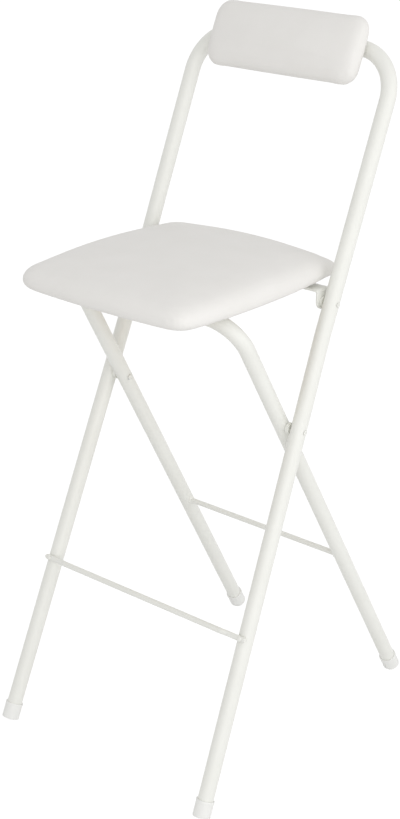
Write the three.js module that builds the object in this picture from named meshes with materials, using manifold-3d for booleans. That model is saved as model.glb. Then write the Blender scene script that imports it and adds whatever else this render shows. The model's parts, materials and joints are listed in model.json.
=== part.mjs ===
// Folding bar stool: a tall tubular frame with a padded backrest, a second tubular frame that
// crosses it like scissors, and a padded seat that hinges on the tall frame and rests on the
// top of the second one. Millimetres, +Z up, the sitter faces -Y.
import * as THREE from "three";
import { mergeVertices } from "three/addons/utils/BufferGeometryUtils.js";
import Module from "manifold-3d";

const wasm = await Module();
wasm.setup();

// Clearances shared by all pieces
const contactGap = 0.3; // between pieces that touch on the real stool
const overrun = 4; // how far a cutting tool runs past what it cuts

// Steel tube of both frames
const tubeRadius = 11;
const tubeWall = 1.2;

// Tall main frame: an upside-down U that leans back
const mainLean = THREE.MathUtils.degToRad(23.6);
const mainLength = 1055; // floor to the centre of the top crossbar, along the tube
const uprightHalfWidth = 169.5; // centre line of an upright
const mainBendRadius = 64;
const splayStart = 670; // below this the legs spread sideways
const splay = THREE.MathUtils.degToRad(1.5);
const kneeRadius = 260;

// Rear frame: a shorter upside-down U inside the main frame; it leans forward until its crossbar
// lies where it carries the seat
const rearFootOffset = 498; // main feet line to rear feet line, on the floor
const crossbarForward = 164.75; // seat hinge to the crossbar, along the floor
const rearTaper = THREE.MathUtils.degToRad(1.1);
const rearBendRadius = 48;
const braceHeight = 283; // along the rear legs
const rodRadius = 4; // footrest and brace

// Feet: square-ended ferrules pushed over the tube ends, standing on one edge
const footFloor = 3; // plastic under the end of a tube
const footHeight = 24;
const footRadius = 12.9;
const footEdgeRound = 1.6;
const footFlat = 1.6; // how far the standing edge is worn flat

// Scissor pivots
const pivotSpacerThickness = 5.6;
const pivotSpacerRadius = 8;

// Rivets and screws
const rivetRadius = 3;
const rivetHeadRadius = 5.6;
const rivetHeadHeight = 2.4;
const domeShares = [[0, 1], [0.55, 0.86], [0.88, 0.5]]; // of a head's radius and height
const upsetShares = [[0.86, 0], [0.6, 0.7], [0, 0.8]]; // the hammered end, of the same head
const pointShare = 0.5; // how far a screw's end tapers
const smallRivetRadius = 2;
const smallRivetHeadRadius = 3.8;
const smallRivetHeadHeight = 1.6;
const smallRivetTail = 3;
const screwRadius = 2.2;
const screwHeadRadius = 4.4;
const screwHeadHeight = 2.4;

// Footrest: a rod with flattened ends riveted to the front of the legs
const footrestHeight = 253; // along the legs
const footrestPlateThickness = 4.8;
const footrestPlateHalfHeight = 4.7;
const footrestOverhang = 11; // tip beyond the leg's centre line
const footrestPlateLength = 30;
const footrestTransition = 12;
const plateSquareness = 5; // of the flattened ends; a round rod has 2
const roundSquareness = 2;
const plateTipTurns = [0, 35, 60, 80]; // degrees round the tip of a flattened end

// Seat hinge on the uprights
const hingeHeight = 716; // along the uprights
const hingeWasherThickness = 2.6;
const hingeWasherRadius = 7;
const bracketThickness = 2.5;
const bracketDepth = 25;
const bracketReach = 88; // sideways under the board
const bracketBend = 3;
const bracketBendSteps = 4;
const lugCornerSteps = 5;
const lugDrop = 10.5; // below the hinge axis
const lugCornerRadius = 12;
const bracketScrewInset = 50; // outer screw from the lug's face
const bracketScrewSpacing = 24;

// Seat
const boardAboveHinge = 17.6;
const seatBoardThickness = 10;
const seatBoardReveal = 3.9; // how far the board stands below the cushion
const seatBoardInset = 20;
const seatForward = 115.8; // hinge axis to the middle of the cushion
const seatSideClearance = 2.5; // cushion to upright
const seatHalfDepth = 157;
const seatCornerRadius = 24;
const seatSideBulge = 12;
const seatFrontBulge = 7;
const seatBackBulge = 12;
const seatThickness = 34.5;
const seatCrown = 4;

// Plastic saddles under the board that the rear frame's crossbar sits in
const saddleWidth = 34;
const saddleOffset = 56; // from the middle of the seat
const saddleRoof = 2.2;
const saddleFrontWall = 15;
const saddleRearLength = 20;
const saddleLip = 4; // front wall below the crossbar's axis
const saddleWrapShare = 0.72; // of half a turn round the crossbar
const saddleWrapSteps = 7;
const frontWallShares = [0.45, 0.25]; // where the front wall starts and stops sloping
const rearHeelShares = [0.12, 0.34]; // the same for the rear, of its length
const rearHeelHeightShare = 0.45; // of the tube's radius
const frontScrewShare = 0.62; // of the rear screw's edge distance
const screwBiteShare = 0.75; // of the board's thickness

// Backrest
const backrestDrop = 9.4; // its middle below the crossbar
const backrestHalfWidth = 127.5;
const backrestHalfHeight = 45.6;
const backrestCornerRadius = 24;
const backrestBulge = 0.8;
const backrestThickness = 26;
const backrestCrown = 3.5;
const backrestBoardThickness = 8;
const backrestBoardReveal = 2;
const backrestBoardInset = 11;
const backrestScrewOffset = 70;
const backrestScrewBite = 6; // into the board

// How finely round things are faceted
const tubeSides = 20;
const bendSteps = 9;
const rodSides = 12;
const turnedSides = 14;
const footSides = 28;
const cushionCornerSteps = 6;
const cushionSideSteps = 8;
const bulgeFade = 8;

// Cushion profile from the hem up: inset and height, as shares of the thickness
const cushionProfileShares = [
  [0.36, 0],
  [0.16, 0.07],
  [0.04, 0.2],
  [0, 0.38],
  [0.03, 0.56],
  [0.12, 0.72],
  [0.3, 0.86],
  [0.6, 0.95],
  [1.1, 1],
];
const crownShares = [0.72, 0.4];
const cornerTightenShare = 0.6; // how much of the inset a corner's radius loses
const leastCornerShare = 0.2; // of the corner's radius, at the least

// Geometry and solids

function outward(geometry) {
  geometry.deleteAttribute("normal");
  geometry.deleteAttribute("uv");
  const merged = mergeVertices(geometry, 1e-4);
  const point = merged.attributes.position;
  const index = merged.index;
  const corners = [new THREE.Vector3(), new THREE.Vector3(), new THREE.Vector3()];
  let volume = 0;
  for (let i = 0; i < index.count; i += 3) {
    corners.forEach((corner, k) => corner.fromBufferAttribute(point, index.getX(i + k)));
    volume += corners[0].dot(corners[1].clone().cross(corners[2]));
  }
  if (volume < 0) {
    for (let i = 0; i < index.count; i += 3) {
      const first = index.getX(i);
      index.setX(i, index.getX(i + 1));
      index.setX(i + 1, first);
    }
  }
  return merged;
}

function solid(geometry) {
  const closed = outward(geometry);
  return new wasm.Manifold(new wasm.Mesh({
    numProp: 3,
    vertProperties: new Float32Array(closed.attributes.position.array),
    triVerts: new Uint32Array(closed.index.array),
  }));
}

function geometryOf(body) {
  const mesh = body.getMesh();
  const geometry = new THREE.BufferGeometry();
  geometry.setAttribute("position", new THREE.BufferAttribute(new Float32Array(mesh.vertProperties), 3));
  geometry.setIndex(new THREE.BufferAttribute(new Uint32Array(mesh.triVerts), 1));
  geometry.computeVertexNormals();
  return geometry;
}

// A skin over rings of points; it closes on itself as a loop, or with a flat fan at each end
function skinGeometry(rings, loop) {
  const sides = rings[0].length;
  const positions = rings.flat().flatMap((point) => [point.x, point.y, point.z]);
  const triangles = [];
  const spans = loop ? rings.length : rings.length - 1;
  for (let i = 0; i < spans; i += 1) {
    const near = i * sides;
    const far = ((i + 1) % rings.length) * sides;
    for (let j = 0; j < sides; j += 1) {
      const next = (j + 1) % sides;
      triangles.push(near + j, near + next, far + next);
      triangles.push(near + j, far + next, far + j);
    }
  }
  if (!loop) {
    for (const [first, flip] of [[0, true], [(rings.length - 1) * sides, false]]) {
      const ring = rings[first / sides];
      const middle = new THREE.Vector3();
      ring.forEach((point) => middle.addScaledVector(point, 1 / sides));
      const centre = positions.length / 3;
      positions.push(middle.x, middle.y, middle.z);
      for (let j = 0; j < sides; j += 1) {
        const next = (j + 1) % sides;
        triangles.push(centre, first + (flip ? next : j), first + (flip ? j : next));
      }
    }
  }
  const geometry = new THREE.BufferGeometry();
  geometry.setAttribute("position", new THREE.Float32BufferAttribute(positions, 3));
  geometry.setIndex(triangles);
  return geometry;
}

// A path in the XZ plane through corners { at, radius, steps }, its corners rounded
function roundedPath(corners) {
  const path = [];
  corners.forEach((corner, i) => {
    const last = corners.length - 1;
    if (i === 0 || i === last) {
      const other = corners[i === 0 ? 1 : last - 1].at;
      const tangent = other.clone().sub(corner.at).normalize();
      path.push({ at: corner.at, tangent: i === 0 ? tangent : tangent.negate() });
      return;
    }
    const back = corners[i - 1].at.clone().sub(corner.at).normalize();
    const ahead = corners[i + 1].at.clone().sub(corner.at).normalize();
    const half = Math.acos(THREE.MathUtils.clamp(back.dot(ahead), -1, 1)) / 2;
    const bisector = back.clone().add(ahead).normalize();
    const centre = corner.at.clone().addScaledVector(bisector, corner.radius / Math.sin(half));
    const start = corner.at.clone().addScaledVector(back, corner.radius / Math.tan(half)).sub(centre);
    const turn = Math.sign(back.cross(ahead)) * (half * 2 - Math.PI);
    for (let k = 0; k <= corner.steps; k += 1) {
      const angle = (turn * k) / corner.steps;
      const spoke = start.clone().rotateAround(new THREE.Vector2(), angle);
      const tangent = back.clone().negate().rotateAround(new THREE.Vector2(), angle);
      path.push({ at: centre.clone().add(spoke), tangent });
    }
  });
  return path;
}

function ringAround(station, radius, sides) {
  const ring = [];
  for (let j = 0; j < sides; j += 1) {
    const angle = (2 * Math.PI * j) / sides;
    const across = radius * Math.cos(angle);
    ring.push(new THREE.Vector3(
      station.at.x - station.tangent.y * across,
      radius * Math.sin(angle),
      station.at.y + station.tangent.x * across,
    ));
  }
  return ring;
}

function pipe(path, radius, wall, sides) {
  const outer = path.map((station) => ringAround(station, radius, sides));
  const inner = path.map((station) => ringAround(station, radius - wall, sides));
  return solid(skinGeometry([...outer, ...inner.reverse()], true));
}

function rod(path, radius, sides) {
  return solid(skinGeometry(path.map((station) => ringAround(station, radius, sides)), false));
}

function turned(profile, sides) {
  const points = profile.map(([radius, height]) => new THREE.Vector2(radius, height));
  const geometry = new THREE.LatheGeometry(points, sides);
  geometry.rotateX(Math.PI / 2);
  return solid(geometry);
}

function cylinder(radius, length, sides) {
  return turned([[0, -length / 2], [radius, -length / 2], [radius, length / 2], [0, length / 2]], sides);
}

function extruded(outline, depth) {
  const shape = new THREE.Shape(outline);
  return solid(new THREE.ExtrudeGeometry(shape, { depth, bevelEnabled: false }));
}

// Turns a solid made along +Z so that it points along a direction, then moves it
function aimed(body, direction, x, y, z) {
  const turn = new THREE.Quaternion().setFromUnitVectors(new THREE.Vector3(0, 0, 1), direction);
  const matrix = new THREE.Matrix4().makeRotationFromQuaternion(turn).setPosition(x, y, z);
  return body.transform(matrix.toArray());
}

const alongX = new THREE.Vector3(1, 0, 0);
const alongY = new THREE.Vector3(0, 1, 0);

// A headed pin along +Z: its shank runs from 0 to the length, its head below 0
function headedPin(radius, headRadius, headHeight, length, upset) {
  const dome = domeShares.map(([out, up]) => [headRadius * out, -headHeight * up]);
  const hammered = upsetShares.map(([out, up]) => [headRadius * out, length + headHeight * up]);
  const taper = radius * pointShare;
  const tail = upset
    ? [[radius, length], ...hammered]
    : [[radius, length - taper], [radius - taper, length], [0, length]];
  return turned([...dome, [headRadius, 0], [radius, 0], ...tail], turnedSides);
}

function washer(innerRadius, outerRadius, thickness) {
  return turned([
    [innerRadius, 0],
    [outerRadius, 0],
    [outerRadius, thickness],
    [innerRadius, thickness],
    [innerRadius, 0],
  ], turnedSides);
}

// Paint, plastic, cover and fastener materials
const finishes = {
  paint: { color: 0xf0f0e9, roughness: 0.34, metalness: 0 },
  ferrule: { color: 0xefefed, roughness: 0.5, metalness: 0 },
  vinyl: { color: 0xe9e6e1, roughness: 0.52, metalness: 0 },
  board: { color: 0xc9ab7c, roughness: 0.8, metalness: 0 },
  nylon: { color: 0xe4e4de, roughness: 0.55, metalness: 0 },
  zinc: { color: 0xb9bbbd, roughness: 0.35, metalness: 1 },
};

function addMesh(group, name, finish, body) {
  const material = new THREE.MeshStandardMaterial(finishes[finish]);
  const mesh = new THREE.Mesh(geometryOf(body), material);
  mesh.name = name;
  group.add(mesh);
  return mesh;
}

const sideNames = [["left", -1], ["right", 1]];

// Hinge axis, and the height at which the seat's board lies on the rear frame's crossbar
const hingeY = hingeHeight * Math.sin(mainLean);
const hingeZ = hingeHeight * Math.cos(mainLean);
const boardBottom = hingeZ + boardAboveHinge;
const crossbarZ = boardBottom - tubeRadius - 2 * contactGap;
const crossbarY = hingeY - crossbarForward;
const rearLean = Math.atan2(rearFootOffset - crossbarY, crossbarZ);
const rearLength = crossbarZ / Math.cos(rearLean);

// Where the two frames cross, measured along each
const scissor = Math.sin(mainLean + rearLean);
const pivotHeight = (rearFootOffset * Math.cos(rearLean)) / scissor;
const rearPivotHeight = (rearFootOffset * Math.cos(mainLean)) / scissor;

// Half-widths of the frames' centre lines along their length
function mainHalfWidth(height) {
  return uprightHalfWidth + Math.max(0, splayStart - height) * Math.tan(splay);
}
const pivotHalfWidth = mainHalfWidth(pivotHeight);
const rearPivotHalfWidth = pivotHalfWidth - 2 * tubeRadius - pivotSpacerThickness - 2 * contactGap;
function rearHalfWidth(height) {
  return rearPivotHalfWidth + (rearPivotHeight - height) * Math.tan(rearTaper);
}
const hingeHalfWidth = mainHalfWidth(hingeHeight);

// Groups: each frame's own plane, and the seat at its hinge
const stool = new THREE.Group();
const mainPlane = new THREE.Group();
mainPlane.rotation.x = -mainLean;
const rearPlane = new THREE.Group();
rearPlane.position.y = rearFootOffset;
rearPlane.rotation.x = rearLean;
const seatGroup = new THREE.Group();
seatGroup.position.set(0, hingeY, hingeZ);
stool.add(mainPlane, rearPlane, seatGroup);

// Tubes

function footEnd(lean) {
  return (footRadius * Math.sin(lean) - footFlat) / Math.cos(lean);
}

function legPath(end, footX, knee, topX, top, bendRadius) {
  const right = [{ at: new THREE.Vector2(footX, end) }];
  if (knee) {
    right.push({ at: new THREE.Vector2(topX, knee), radius: kneeRadius, steps: 2 });
  }
  right.push({ at: new THREE.Vector2(topX, top), radius: bendRadius, steps: bendSteps });
  const left = right.map((corner) => ({ ...corner, at: new THREE.Vector2(-corner.at.x, corner.at.y) }));
  return roundedPath([...left, ...right.reverse()]);
}

const mainEnd = footEnd(mainLean) + footFloor;
const rearEnd = footEnd(rearLean) + footFloor;
const mainPath = legPath(
  mainEnd, mainHalfWidth(mainEnd), splayStart, uprightHalfWidth, mainLength, mainBendRadius,
);
const rearPath = legPath(
  rearEnd, rearHalfWidth(rearEnd), null, rearHalfWidth(rearLength), rearLength, rearBendRadius,
);

function crossHole(radius, x, y, z, direction) {
  return aimed(cylinder(radius, tubeRadius * 2 + overrun * 2, turnedSides), direction, x, y, z);
}

function addMainFrame() {
  let tube = pipe(mainPath, tubeRadius, tubeWall, tubeSides);
  for (const [, side] of sideNames) {
    const pivotX = side * pivotHalfWidth;
    const hingeX = side * hingeHalfWidth;
    const restX = side * mainHalfWidth(footrestHeight);
    const restY = -tubeRadius - overrun;
    tube = tube.subtract(crossHole(rivetRadius + contactGap, pivotX, 0, pivotHeight, alongX));
    tube = tube.subtract(crossHole(rivetRadius + contactGap, hingeX, 0, hingeHeight, alongX));
    tube = tube.subtract(crossHole(smallRivetRadius + contactGap, restX, restY, footrestHeight, alongY));
    const screwX = side * backrestScrewOffset;
    tube = tube.subtract(crossHole(screwRadius + contactGap, screwX, 0, mainLength, alongY));
  }
  addMesh(mainPlane, "main_frame_tube", "paint", tube);
}

function addRearFrame() {
  let tube = pipe(rearPath, tubeRadius, tubeWall, tubeSides);
  for (const [, side] of sideNames) {
    const hole = crossHole(rivetRadius + contactGap, side * rearPivotHalfWidth, 0, rearPivotHeight, alongX);
    tube = tube.subtract(hole);
  }
  addMesh(rearPlane, "rear_frame_tube", "paint", tube);

  const reach = rearHalfWidth(braceHeight);
  const brace = rod([
    { at: new THREE.Vector2(-reach, braceHeight), tangent: new THREE.Vector2(1, 0) },
    { at: new THREE.Vector2(reach, braceHeight), tangent: new THREE.Vector2(1, 0) },
  ], rodRadius, rodSides);
  const legs = rod(rearPath, tubeRadius + contactGap, tubeSides);
  addMesh(rearPlane, "rear_brace", "paint", brace.subtract(legs));
}

// Feet

function ferrule() {
  const round = footEdgeRound;
  const shoulder = round * (1 - Math.SQRT1_2);
  const body = turned([
    [0, 0],
    [footRadius - round, 0],
    [footRadius - shoulder, shoulder],
    [footRadius, round],
    [footRadius, footHeight - shoulder],
    [footRadius - shoulder, footHeight],
    [0, footHeight],
  ], footSides);
  const boreLength = footHeight + overrun;
  const bore = cylinder(tubeRadius + contactGap, boreLength, footSides);
  return body.subtract(bore.translate([0, 0, footFloor - contactGap + boreLength / 2]));
}

// The space below the floor, seen from a frame's own plane
function floorBlock(plane, x) {
  const size = 4 * footHeight;
  const block = solid(new THREE.BoxGeometry(size, size, size).translate(x, plane.position.y, -size / 2));
  const inverse = new THREE.Matrix4().makeRotationX(-plane.rotation.x);
  inverse.multiply(new THREE.Matrix4().makeTranslation(0, -plane.position.y, 0));
  return block.transform(inverse.toArray());
}

function addFeet(plane, prefix, end, halfWidth, tilt) {
  for (const [name, side] of sideNames) {
    const turn = new THREE.Matrix4().makeRotationY(-side * tilt).setPosition(side * halfWidth, 0, end);
    const body = ferrule().transform(turn.toArray());
    addMesh(plane, `${prefix}_foot_${name}`, "ferrule", body.subtract(floorBlock(plane, side * halfWidth)));
  }
}

// Footrest

function flattened(x, halfHeight, halfThickness, middle, squareness) {
  const ring = [];
  for (let j = 0; j < rodSides; j += 1) {
    const angle = (2 * Math.PI * j) / rodSides;
    const c = Math.cos(angle);
    const s = Math.sin(angle);
    const thick = Math.sign(c) * Math.abs(c) ** (2 / squareness) * halfThickness;
    const high = Math.sign(s) * Math.abs(s) ** (2 / squareness) * halfHeight;
    ring.push(new THREE.Vector3(x, middle + thick, footrestHeight + high));
  }
  return ring;
}

function addFootrest() {
  const tip = mainHalfWidth(footrestHeight) + footrestOverhang;
  const rodMiddle = -(tubeRadius + contactGap + rodRadius);
  const plateMiddle = -(tubeRadius + contactGap + footrestPlateThickness / 2);
  const plateHalf = footrestPlateThickness / 2;
  const plateStart = tip - footrestPlateLength;
  const stations = [
    [plateStart - footrestTransition, rodRadius, rodRadius, rodMiddle, roundSquareness],
    [plateStart, footrestPlateHalfHeight, plateHalf, plateMiddle, plateSquareness],
  ];
  for (const turn of plateTipTurns) {
    const angle = THREE.MathUtils.degToRad(turn);
    stations.push([
      tip - footrestPlateHalfHeight * (1 - Math.sin(angle)),
      footrestPlateHalfHeight * Math.cos(angle),
      plateHalf,
      plateMiddle,
      plateSquareness,
    ]);
  }
  const right = stations.map((station) => flattened(...station));
  const left = stations.map(([x, ...rest]) => flattened(-x, ...rest)).reverse();
  let bar = solid(skinGeometry([...left, ...right], false));
  const front = -(tubeRadius + 2 * contactGap + footrestPlateThickness);
  for (const [name, side] of sideNames) {
    const x = side * mainHalfWidth(footrestHeight);
    bar = bar.subtract(crossHole(smallRivetRadius + contactGap, x, plateMiddle, footrestHeight, alongY));
    const length = footrestPlateThickness + tubeWall + 2 * contactGap + smallRivetTail;
    const rivet = headedPin(smallRivetRadius, smallRivetHeadRadius, smallRivetHeadHeight, length, false);
    addMesh(mainPlane, `footrest_rivet_${name}`, "paint", aimed(rivet, alongY, x, front, footrestHeight));
  }
  addMesh(mainPlane, "footrest_bar", "paint", bar);
}

// Scissor pivots and seat hinges: a spacer between the two pieces, and a rivet through them

function addPivots() {
  const outer = pivotHalfWidth + tubeRadius + contactGap;
  const inner = rearPivotHalfWidth - tubeRadius - contactGap;
  for (const [name, side] of sideNames) {
    const inward = new THREE.Vector3(-side, 0, 0);
    const rivet = headedPin(rivetRadius, rivetHeadRadius, rivetHeadHeight, outer - inner, true);
    const placed = aimed(rivet, inward, side * outer, 0, pivotHeight);
    addMesh(mainPlane, `pivot_rivet_${name}`, "paint", placed);
    const ring = washer(rivetRadius + contactGap, pivotSpacerRadius, pivotSpacerThickness);
    const face = pivotHalfWidth - tubeRadius - contactGap;
    addMesh(mainPlane, `pivot_spacer_${name}`, "nylon", aimed(ring, inward, side * face, 0, pivotHeight));
  }
}

const lugFace = hingeHalfWidth - tubeRadius - hingeWasherThickness - 2 * contactGap;

function addHinges() {
  const outer = hingeHalfWidth + tubeRadius + contactGap;
  const inner = lugFace - bracketThickness - contactGap;
  for (const [name, side] of sideNames) {
    const inward = new THREE.Vector3(-side, 0, 0);
    const rivet = headedPin(rivetRadius, rivetHeadRadius, rivetHeadHeight, outer - inner, true);
    const placed = aimed(rivet, inward, side * outer, 0, hingeHeight);
    addMesh(mainPlane, `hinge_rivet_${name}`, "paint", placed);
    const ring = washer(rivetRadius + contactGap, hingeWasherRadius, hingeWasherThickness);
    const face = hingeHalfWidth - tubeRadius - contactGap;
    addMesh(mainPlane, `hinge_washer_${name}`, "nylon", aimed(ring, inward, side * face, 0, hingeHeight));
  }
}

// Outline of a pad: a rectangle with round corners whose sides swell outward; the front is at -Y
function padOutline(halfWidth, halfDepth, cornerRadius, bulge) {
  const outline = [];
  const middles = [[1, 1], [-1, 1], [-1, -1], [1, -1]];
  const corners = middles.map(([sx, sy], quarter) => {
    const arc = [];
    for (let k = 0; k <= cushionCornerSteps; k += 1) {
      const angle = (Math.PI / 2) * (quarter + k / cushionCornerSteps);
      arc.push(new THREE.Vector2(
        sx * (halfWidth - cornerRadius) + cornerRadius * Math.cos(angle),
        sy * (halfDepth - cornerRadius) + cornerRadius * Math.sin(angle),
      ));
    }
    return arc;
  });
  corners.forEach((arc, quarter) => {
    outline.push(...arc);
    const from = arc[arc.length - 1];
    const to = corners[(quarter + 1) % 4][0];
    for (let k = 1; k < cushionSideSteps; k += 1) {
      outline.push(from.clone().lerp(to, k / cushionSideSteps));
    }
  });
  return outline.map((point) => {
    const acrossShare = point.x / halfWidth;
    const alongShare = point.y / halfDepth;
    const endBulge = point.y < 0 ? -bulge.front : bulge.back;
    return new THREE.Vector2(
      point.x + Math.sign(point.x) * bulge.side * (1 - alongShare ** 2) * Math.abs(acrossShare) ** bulgeFade,
      point.y + endBulge * (1 - acrossShare ** 2) * Math.abs(alongShare) ** bulgeFade,
    );
  });
}

// A crowned pad on its base plane, its sides drawn in towards the hem
function cushion(halfWidth, halfDepth, cornerRadius, bulge, thickness, crown) {
  const rings = cushionProfileShares.map(([insetShare, heightShare]) => {
    const inset = insetShare * thickness;
    const radius = Math.max(cornerRadius - inset * cornerTightenShare, cornerRadius * leastCornerShare);
    const outline = padOutline(halfWidth - inset, halfDepth - inset, radius, bulge);
    return outline.map((point) => new THREE.Vector3(point.x, point.y, heightShare * thickness));
  });
  const rim = rings[rings.length - 1];
  for (const share of crownShares) {
    const height = thickness + crown * (1 - share ** 2);
    rings.push(rim.map((point) => new THREE.Vector3(point.x * share, point.y * share, height)));
  }
  return solid(skinGeometry(rings, false));
}

function screwHole(radius, length, x, y, z) {
  return cylinder(radius, length, turnedSides).translate([x, y, z]);
}

// Seat: board, cushion, hinge brackets and saddles, all measured from the hinge axis

const seatHalfWidth = uprightHalfWidth - tubeRadius - seatSideClearance - seatSideBulge;
const seatBulges = { side: seatSideBulge, front: seatFrontBulge, back: seatBackBulge };
const bracketTop = boardAboveHinge - contactGap;
const bracketBottom = bracketTop - bracketThickness;
const bracketScrews = [lugFace - bracketScrewInset, lugFace - bracketScrewInset - bracketScrewSpacing];
const saddleY = crossbarY - hingeY;
const saddleZ = crossbarZ - hingeZ;
const saddleCrown = boardAboveHinge - contactGap;
const saddleFront = saddleY - tubeRadius - saddleFrontWall;
const saddleRear = saddleY + tubeRadius + saddleRearLength;
const saddleScrewEdge = screwHeadRadius + 3 * contactGap;
const seatScrewLength = seatBoardThickness * screwBiteShare;

function saddleOutline() {
  const radius = tubeRadius + contactGap;
  const low = saddleZ - saddleLip;
  const [wallTop, wallFoot] = frontWallShares.map((share) => saddleY - radius - saddleFrontWall * share);
  const [heelFoot, heelTop] = rearHeelShares.map((share) => saddleY + tubeRadius + saddleRearLength * share);
  const points = [
    [saddleFront, saddleCrown + saddleRoof],
    [saddleFront, saddleCrown - saddleRoof],
    [wallTop, saddleCrown - saddleRoof],
    [wallFoot, low],
    [saddleY - radius, low],
  ];
  for (let k = 0; k <= saddleWrapSteps; k += 1) {
    const angle = Math.PI * (1 - (saddleWrapShare * k) / saddleWrapSteps);
    points.push([saddleY + radius * Math.cos(angle), saddleZ + radius * Math.sin(angle)]);
  }
  points.push(
    [heelFoot, saddleZ + tubeRadius * rearHeelHeightShare],
    [heelTop, saddleCrown - saddleRoof],
    [saddleRear, saddleCrown - saddleRoof],
    [saddleRear, saddleCrown + saddleRoof],
  );
  return points.map(([y, z]) => new THREE.Vector2(y, z));
}

function saddleScrewPlaces() {
  const front = saddleFront + saddleScrewEdge * frontScrewShare;
  const rear = saddleRear - saddleScrewEdge;
  return [["front", front], ["rear", rear]];
}

function boardOutline(grow) {
  const inset = seatBoardInset - grow;
  const outline = padOutline(seatHalfWidth - inset, seatHalfDepth - inset, seatCornerRadius, seatBulges);
  return outline.map((point) => new THREE.Vector2(point.x, point.y - seatForward));
}

function addSeatBoardAndCushion() {
  let board = extruded(boardOutline(0), seatBoardThickness).translate([0, 0, boardAboveHinge]);
  const drillRadius = screwRadius + contactGap;
  const drillLength = 2 * seatScrewLength;
  for (const [, side] of sideNames) {
    for (const x of bracketScrews) {
      board = board.subtract(screwHole(drillRadius, drillLength, side * x, 0, boardAboveHinge));
    }
    const pocketWidth = saddleWidth + 2 * contactGap;
    const pocketLength = saddleRear - saddleFront + 2 * contactGap;
    const pocketHeight = 2 * (saddleRoof + contactGap);
    const middle = (saddleRear + saddleFront) / 2;
    const pocket = solid(new THREE.BoxGeometry(pocketWidth, pocketLength, pocketHeight));
    board = board.subtract(pocket.translate([side * saddleOffset, middle, boardAboveHinge]));
    for (const [, y] of saddleScrewPlaces()) {
      board = board.subtract(screwHole(drillRadius, drillLength, side * saddleOffset, y, boardAboveHinge));
    }
  }
  addMesh(seatGroup, "seat_board", "board", board);

  const recess = extruded(boardOutline(contactGap), seatBoardThickness + contactGap);
  const pad = cushion(
    seatHalfWidth, seatHalfDepth, seatCornerRadius, seatBulges, seatThickness, seatCrown,
  );
  const lifted = pad.translate([0, -seatForward, boardAboveHinge + seatBoardReveal]);
  addMesh(seatGroup, "seat_cushion", "vinyl", lifted.subtract(recess.translate([0, 0, boardAboveHinge])));
}

function addBrackets() {
  const inner = lugFace - bracketReach;
  const bottom = -lugDrop;
  const lugInner = lugFace - bracketThickness;
  const bend = roundedPath([
    { at: new THREE.Vector2(inner, bracketTop - bracketThickness / 2) },
    {
      at: new THREE.Vector2(lugFace - bracketThickness / 2, bracketTop - bracketThickness / 2),
      radius: bracketBend,
      steps: bracketBendSteps,
    },
    { at: new THREE.Vector2(lugFace - bracketThickness / 2, bottom) },
  ]);
  const edge = (sign) => bend.map(({ at, tangent }) => new THREE.Vector2(
    at.x - (sign * tangent.y * bracketThickness) / 2,
    at.y + (sign * tangent.x * bracketThickness) / 2,
  ));
  const section = [...edge(1), ...edge(-1).reverse()];
  const strip = extruded(section, bracketDepth).transform(
    new THREE.Matrix4().makeRotationX(Math.PI / 2).setPosition(0, bracketDepth / 2, 0).toArray(),
  );
  const half = bracketDepth / 2;
  const round = lugCornerRadius;
  const top = bracketTop + overrun;
  const sideView = new THREE.Shape();
  sideView.moveTo(-half - overrun, top);
  sideView.lineTo(-half - overrun, bracketBottom);
  sideView.lineTo(-half, bracketBottom);
  sideView.absarc(-half + round, bottom + round, round, Math.PI, 1.5 * Math.PI);
  sideView.absarc(half - round, bottom + round, round, 1.5 * Math.PI, 2 * Math.PI);
  sideView.lineTo(half, bracketBottom);
  sideView.lineTo(half + overrun, bracketBottom);
  sideView.lineTo(half + overrun, top);
  const keep = solid(new THREE.ExtrudeGeometry(sideView, {
    depth: bracketReach + overrun * 2,
    bevelEnabled: false,
    curveSegments: lugCornerSteps,
  }));
  const standing = new THREE.Matrix4().makeBasis(
    new THREE.Vector3(0, 1, 0),
    new THREE.Vector3(0, 0, 1),
    new THREE.Vector3(1, 0, 0),
  ).setPosition(inner - overrun, 0, 0);
  let bracket = strip.intersect(keep.transform(standing.toArray()));
  const pinHole = cylinder(rivetRadius + contactGap, bracketThickness + overrun * 2, turnedSides);
  bracket = bracket.subtract(aimed(pinHole, alongX, lugInner, 0, 0));
  const drillLength = bracketThickness + overrun;
  for (const x of bracketScrews) {
    bracket = bracket.subtract(screwHole(screwRadius + contactGap, drillLength, x, 0, bracketBottom));
  }
  for (const [name, side] of sideNames) {
    const body = side > 0 ? bracket : bracket.mirror([1, 0, 0]);
    addMesh(seatGroup, `seat_bracket_${name}`, "paint", body);
    bracketScrews.forEach((x, i) => {
      const length = bracketThickness + contactGap * 2 + seatScrewLength;
      const screw = headedPin(screwRadius, screwHeadRadius, screwHeadHeight, length - overrun, false);
      const placed = screw.translate([side * x, 0, bracketBottom - contactGap]);
      addMesh(seatGroup, `bracket_screw_${name}_${i + 1}`, "zinc", placed);
    });
  }
}

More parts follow.
